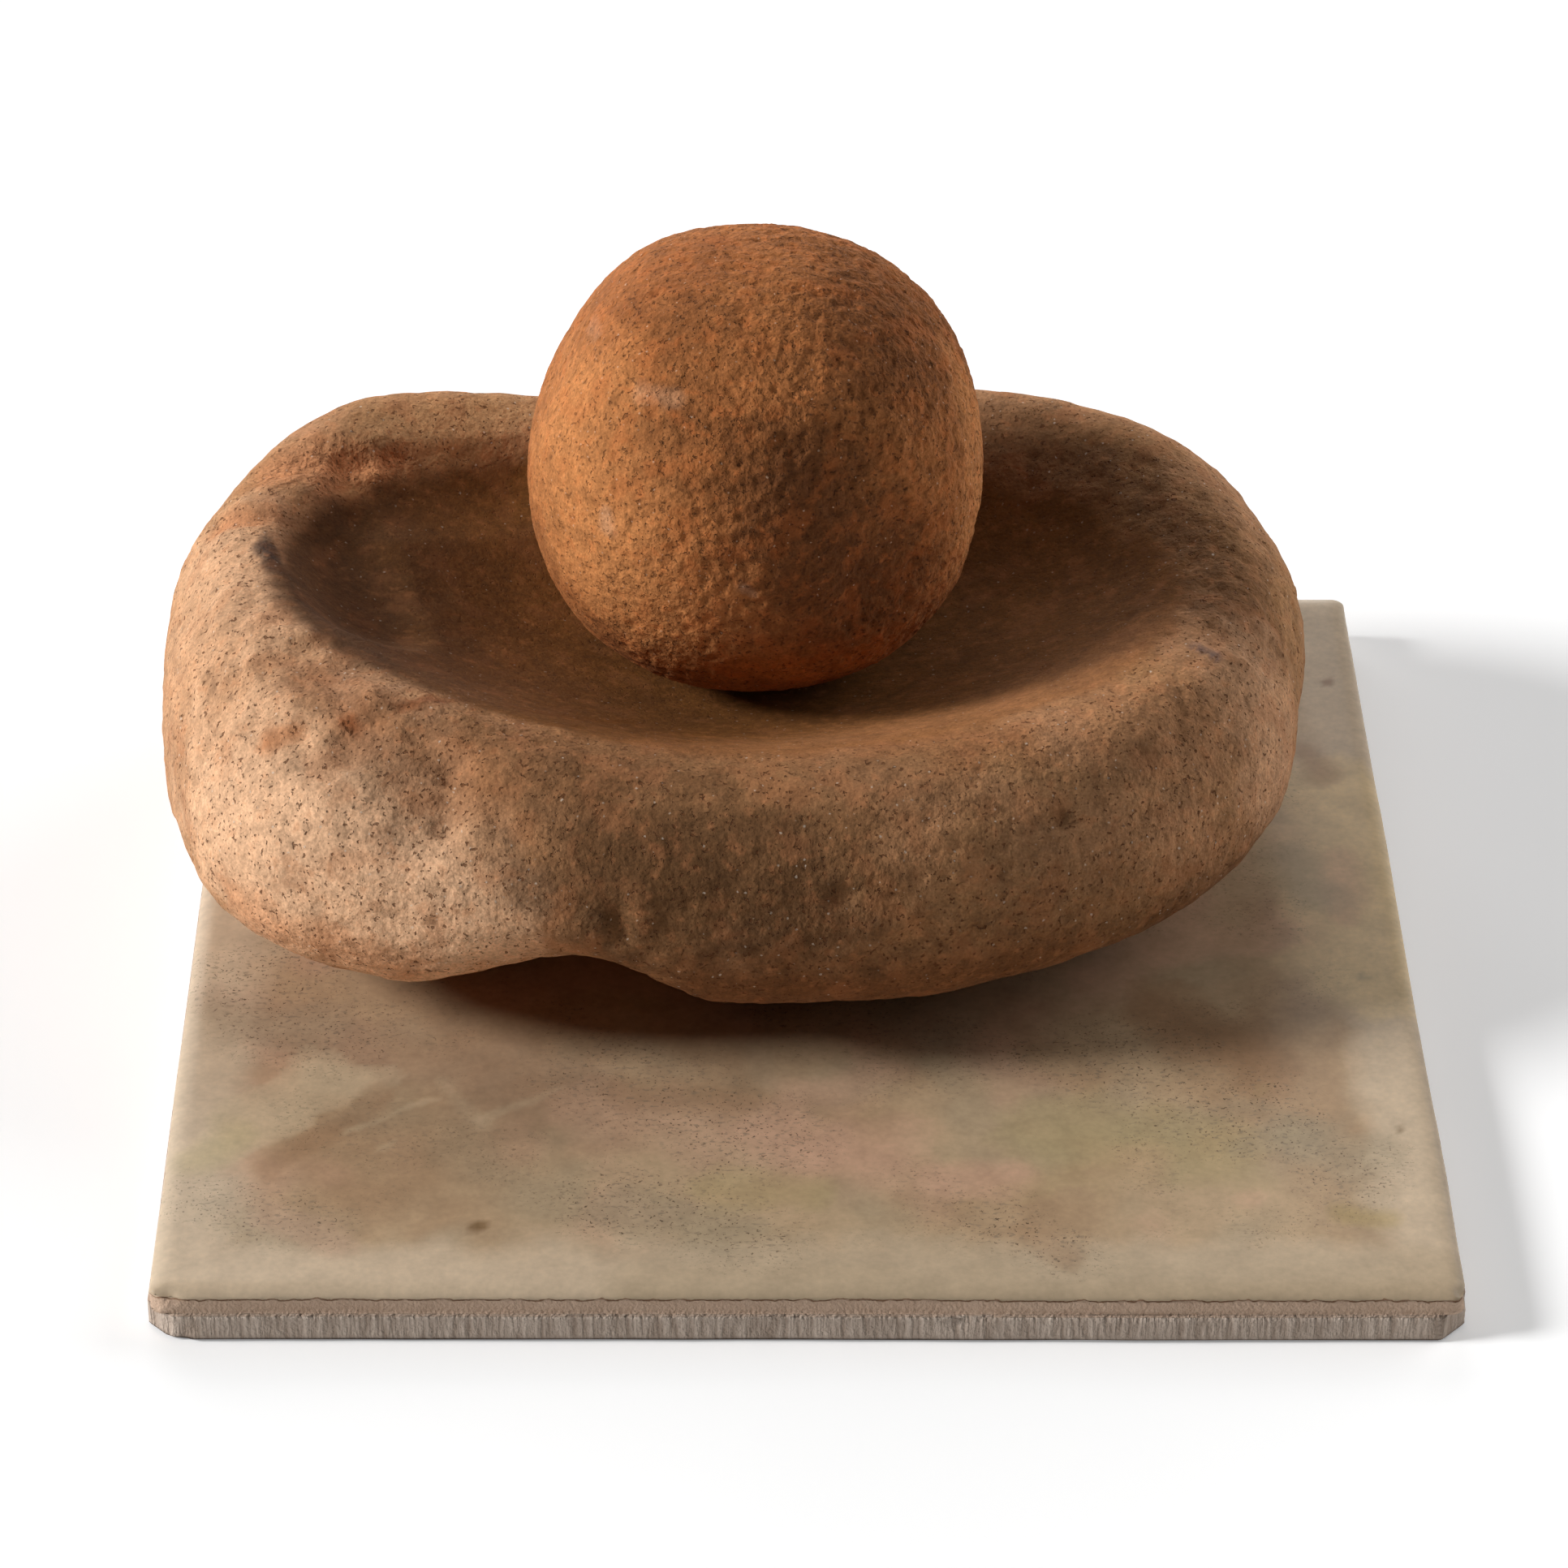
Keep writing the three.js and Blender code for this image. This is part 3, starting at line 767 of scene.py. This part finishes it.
def tile_material():
    """Mottled glaze with dark specks, over a bare clay side with a rough lower band."""
    paint = Paint("glazed tile")
    height = paint.add("SeparateXYZ", {"Vector": paint.place}).outputs["Z"]
    colour = paint.attribute("tone", "Color")
    for size, spread in ((5 * mm, 0.2), (1.1 * mm, 0.16)):
        mottle = paint.mix(paint.noise(size, 5), grey(1 - spread), grey(1 + spread))
        colour = paint.mix(1.0, colour, mottle, "MULTIPLY")
    speckled = paint.attribute("speckled")
    fleck = paint.ramp(paint.noise(1.3 * mm, 3, paint.stretched(1, 1.8, 1)), 0.54, 0.7, 0.0, 0.6)
    colour = paint.mix(paint.math("MULTIPLY", fleck, speckled), colour, tone(132, 118, 100))
    speck = paint.ramp(paint.noise(0.5 * mm, 2), 0.63, 0.69, 0.0, 0.85)
    colour = paint.mix(paint.math("MULTIPLY", speck, speckled), colour, tone(88, 70, 54))
    clay = paint.mix(paint.noise(2.2 * mm, 3), tone(196, 164, 140), tone(222, 194, 170))
    streaks = paint.ramp(paint.noise(0.9 * mm, 3, paint.stretched(1, 1, 0.12)), 0.2, 0.8)
    foot = paint.ramp(height, tile_body_height - 0.2 * mm, tile_body_height + 0.1 * mm, 1.0, 0.0)
    foot_clay = paint.mix(streaks, tone(172, 152, 136), tone(222, 204, 188))
    clay = paint.mix(foot, clay, foot_clay)
    # Painted contact shadow: a dark line along the foot
    painted_contact_shadow = paint.ramp(height, 0.4 * mm, 0.9 * mm, 0.9, 0.0)
    clay = paint.mix(painted_contact_shadow, clay, tone(58, 42, 34))
    edge_sway = paint.math("MULTIPLY", paint.math("SUBTRACT", paint.noise(2.4 * mm, 4), 0.5), 1.8 * mm)
    edge = paint.math("ADD", height, edge_sway)
    glazed = paint.ramp(edge, tile_glaze_height - 0.45 * mm, tile_glaze_height + 0.05 * mm)
    lip = paint.math("MULTIPLY", glazed, paint.math("SUBTRACT", 1.0, glazed))
    clay = paint.mix(glazed, clay, colour)
    colour = paint.mix(paint.math("MULTIPLY", lip, 3.2), clay, tone(122, 80, 52))
    roughness = paint.mix(glazed, grey(0.85), grey(0.3))
    streak_height = paint.math("MULTIPLY", streaks, foot)
    bare = paint.math("SUBTRACT", 1.0, glazed)
    clay_height = paint.math("MULTIPLY", paint.math("ADD", paint.noise(0.6 * mm, 3), streak_height), bare)
    normal = paint.bump(clay_height, 0.35 * mm)
    paint.shader.inputs["Specular IOR Level"].default_value = 0.12
    return paint.finish(colour, roughness, normal)


def build_tile():
    mesh = tile_mesh()
    tile = bpy.data.objects.new("glazed_tile", mesh)
    bpy.context.collection.objects.link(tile)
    points, normals = mesh_points(mesh), mesh_normals(mesh)
    low, high = (np.array(corner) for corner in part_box("base_tile"))
    side = 1 - np.abs(normals[:, 2])
    wander = 0.35 * ripples(points, 9 * mm, 4, 21)
    sways = 0.3 * mm * side * (ripples(points, 30 * mm, 3, 22) + 0.4)
    sags = 0.08 * mm * (1 - side) * (ripples(points, 24 * mm, 2, 23) + 0.5)
    from_edge = np.minimum(points[:, :2] - low[:2], high[:2] - points[:, :2]).min(axis=1)
    border = 1 - smooth_step(from_edge + 9 * mm * wander, 8 * mm, 17 * mm)
    base = blend_tones(glaze_beige, glaze_brown, 0.5 * smooth_step(ripples(points, 32 * mm, 3, 24), -0.3, 0.6))
    base = blend_tones(base, glaze_grey, 0.5 * smooth_step(ripples(points, 21 * mm, 3, 25), 0, 0.6))
    base = blend_tones(base, glaze_pink, 0.5 * smooth_step(ripples(points, 26 * mm, 3, 26), 0.05, 0.6))
    base = blend_tones(base, glaze_border, border)
    speckled = 0.55 * (1 - border) * smooth_step(ripples(points, 17 * mm, 3, 27), -0.1, 0.5)
    speckled += mark_depths(mesh, tile_speckled, wander) / mm
    depths = sways + sags + mark_depths(mesh, tile_marks, wander)
    write_attribute(mesh, "tone", stain_tones(mesh, base, tile_stains, 1.3 * wander, 16 * mm, 4 * mm))
    write_attribute(mesh, "speckled", np.clip(speckled, 0, 1))
    write_points(mesh, points - normals * depths[:, None])
    mesh.materials.append(tile_material())
    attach(tile, "tile")
    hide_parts("base_tile")


# Studio
floor_size = 12
floor_drop = 0.05 * mm
floor_glow = 0.28
world_strength = 0.04


def floor_material():
    """A pale floor that also glows for the camera and for reflections, but lights nothing."""
    paint = Paint("floor")
    path = paint.add("LightPath")
    seen = paint.math("MAXIMUM", path.outputs["Is Camera Ray"], path.outputs["Is Glossy Ray"])
    seen = paint.math("MAXIMUM", seen, path.outputs["Is Transmission Ray"])
    paint.feed(paint.shader.inputs["Emission Strength"], paint.math("MULTIPLY", seen, floor_glow))
    paint.shader.inputs["Emission Color"].default_value = grey(1.0)
    paint.shader.inputs["Specular IOR Level"].default_value = 0.0
    paint.shader.inputs["Base Color"].default_value = grey(1.0)
    paint.shader.inputs["Roughness"].default_value = 1.0
    return paint.material


def build_floor():
    mesh = bpy.data.meshes.new("floor")
    half = floor_size / 2
    corners = [(-half, -half), (half, -half), (half, half), (-half, half)]
    mesh.from_pydata([(x, y, -floor_drop) for x, y in corners], [], [(0, 1, 2, 3)])
    mesh.materials.append(floor_material())
    floor = bpy.data.objects.new("floor", mesh)
    bpy.context.collection.objects.link(floor)


def build_world():
    """Even light all round, which the camera and reflections see as white."""
    world = bpy.data.worlds.new("world")
    world.use_nodes = True
    bpy.context.scene.world = world
    tree = world.node_tree
    path = tree.nodes.new("ShaderNodeLightPath")
    seen = None
    for output in ("Is Camera Ray", "Is Glossy Ray", "Is Transmission Ray"):
        if seen is None:
            seen = path.outputs[output]
        else:
            most = tree.nodes.new("ShaderNodeMath")
            most.operation = "MAXIMUM"
            tree.links.new(seen, most.inputs[0])
            tree.links.new(path.outputs[output], most.inputs[1])
            seen = most.outputs[0]
    strength = tree.nodes.new("ShaderNodeMapRange")
    strength.inputs["To Min"].default_value = world_strength
    tree.links.new(seen, strength.inputs["Value"])
    background = tree.nodes["Background"]
    background.inputs["Color"].default_value = grey(1.0)
    tree.links.new(strength.outputs["Result"], background.inputs["Strength"])


def add_light(name, around, up, spread, strength):
    """A soft far light, at angles in degrees: around from the front by the right, and up from the floor."""
    data = bpy.data.lights.new(name, "SUN")
    data.energy = strength
    data.angle = math.radians(spread)
    lamp = bpy.data.objects.new(name, data)
    turn = Matrix.Rotation(math.radians(around), 4, "Z") @ Matrix.Rotation(math.radians(90 - up), 4, "X")
    lamp.matrix_world = turn
    bpy.context.collection.objects.link(lamp)


def build_lights():
    add_light("key light", 275, 29, 16, 3.0)
    add_light("right light", 118, 25, 50, 1.2)
    add_light("back light", 195, 18, 50, 1.3)


bpy.context.scene.view_settings.view_transform = "Standard"
build_bowl()
build_pestle()
build_tile()
build_floor()
build_world()
build_lights()
